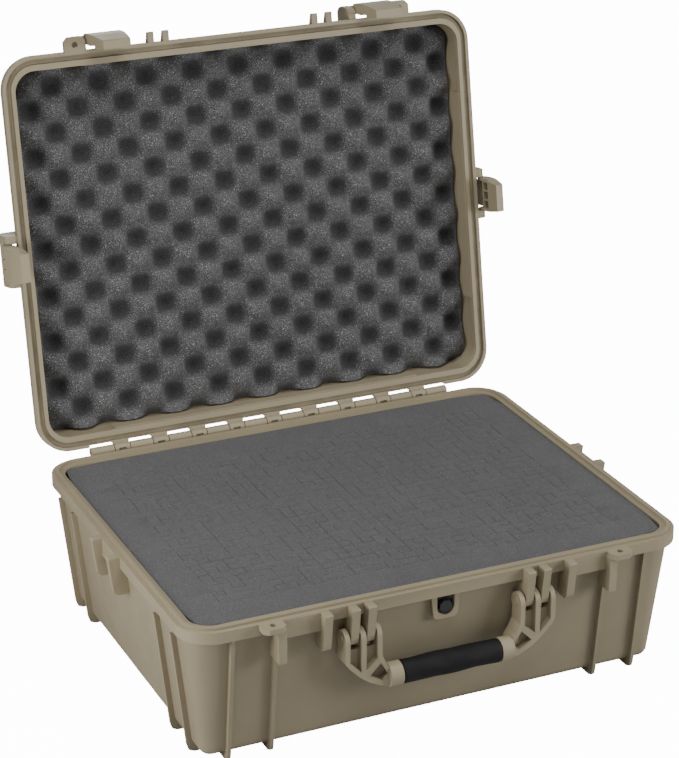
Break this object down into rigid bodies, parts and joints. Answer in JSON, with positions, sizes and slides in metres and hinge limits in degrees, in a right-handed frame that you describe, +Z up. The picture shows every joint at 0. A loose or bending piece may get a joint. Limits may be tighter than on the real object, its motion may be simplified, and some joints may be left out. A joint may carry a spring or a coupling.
{
  "type": "hard equipment case",
  "caption": "Hard plastic equipment case with a hinged lid on draw latches, a folding handle, a purge valve and foam inside.",
  "frame": {"origin": "middle of the underside, on the surface the case stands on", "axes": "+Z up along the padlock holes of the base, -Y out of the front wall that carries the handle, +X to the right along the hinge rod"},
  "size_m": [0.6116, 0.6029, 0.6347],
  "materials": {
    "shell_plastic": "matte",
    "latch_plastic": "satin",
    "handle_plastic": "satin",
    "grip_rubber": "matte",
    "valve_plastic": "satin",
    "seal_rubber": "matte",
    "pin_steel": "satin",
    "cube_foam": "matte",
    "lid_foam": "matte"
  },
  "bodies": {
    "base": {"base_shell": "shell_plastic", "hinge_rod": "pin_steel", "base_foam_upper": "cube_foam", "base_foam_lower": "cube_foam", "base_foam_pad": "cube_foam", "purge_valve_body": "valve_plastic", "purge_valve_oring": "seal_rubber"},
    "lid": {"lid_shell": "shell_plastic", "lid_seal": "seal_rubber", "lid_foam": "lid_foam", "latch_front_left_lid_pin": "pin_steel", "latch_front_right_lid_pin": "pin_steel", "latch_left_lid_pin": "pin_steel", "latch_right_lid_pin": "pin_steel"},
    "handle": {"handle_frame": "handle_plastic", "handle_grip": "grip_rubber", "handle_pin_left": "handle_plastic", "handle_pin_right": "handle_plastic"},
    "valve_knob": {"purge_valve_knob": "valve_plastic"},
    "link_front_left": {"latch_front_left_link": "latch_plastic"},
    "lever_front_left": {"latch_front_left_lever": "latch_plastic", "latch_front_left_lever_pin": "pin_steel"},
    "link_front_right": {"latch_front_right_link": "latch_plastic"},
    "lever_front_right": {"latch_front_right_lever": "latch_plastic", "latch_front_right_lever_pin": "pin_steel"},
    "link_left": {"latch_left_link": "latch_plastic"},
    "lever_left": {"latch_left_lever": "latch_plastic", "latch_left_lever_pin": "pin_steel"},
    "link_right": {"latch_right_link": "latch_plastic"},
    "lever_right": {"latch_right_lever": "latch_plastic", "latch_right_lever_pin": "pin_steel"}
  },
  "joints": [
    {"name": "lid_hinge", "type": "hinge", "parent": "base", "child": "lid", "pos_m": [0, 0.2315, 0.165], "axis": [1, 0, 0], "range_deg": [0, 100.5]},
    {"name": "front_left_link_swing", "type": "hinge", "parent": "lid", "child": "link_front_left", "pos_m": [-0.1655, 0.34217, 0.61944], "axis": [1, 0, 0], "range_deg": [-25, 0]},
    {"name": "front_left_lever_swing", "type": "hinge", "parent": "link_front_left", "child": "lever_front_left", "pos_m": [-0.1655, 0.32385, 0.62487], "axis": [1, 0, 0], "range_deg": [-71.5, 3.5]},
    {"name": "front_right_link_swing", "type": "hinge", "parent": "lid", "child": "link_front_right", "pos_m": [0.1655, 0.34217, 0.61944], "axis": [1, 0, 0], "range_deg": [-25, 0]},
    {"name": "front_right_lever_swing", "type": "hinge", "parent": "link_front_right", "child": "lever_front_right", "pos_m": [0.1655, 0.32385, 0.62487], "axis": [1, 0, 0], "range_deg": [-71.5, 3.5]},
    {"name": "left_link_swing", "type": "hinge", "parent": "lid", "child": "link_left", "pos_m": [-0.2975, 0.29925, 0.38788], "axis": [0, 0.1822, 0.9833], "range_deg": [-25, 0]},
    {"name": "left_lever_swing", "type": "hinge", "parent": "link_left", "child": "lever_left", "pos_m": [-0.2995, 0.28057, 0.39135], "axis": [0, 0.1822, 0.9833], "range_deg": [-71.5, 3.5]},
    {"name": "right_link_swing", "type": "hinge", "parent": "lid", "child": "link_right", "pos_m": [0.2975, 0.29925, 0.38788], "axis": [0, -0.1822, -0.9833], "range_deg": [-25, 0]},
    {"name": "right_lever_swing", "type": "hinge", "parent": "link_right", "child": "lever_right", "pos_m": [0.2995, 0.28057, 0.39135], "axis": [0, -0.1822, -0.9833], "range_deg": [-71.5, 3.5]},
    {"name": "handle_swing", "type": "hinge", "parent": "base", "child": "handle", "pos_m": [0, -0.2255, 0.126], "axis": [-1, 0, 0], "range_deg": [0, 90]},
    {"name": "purge_knob_turn", "type": "hinge", "parent": "base", "child": "valve_knob", "pos_m": [0, -0.218, 0.136], "axis": [0, -1, 0], "range_deg": [0, 90]}
  ]
}
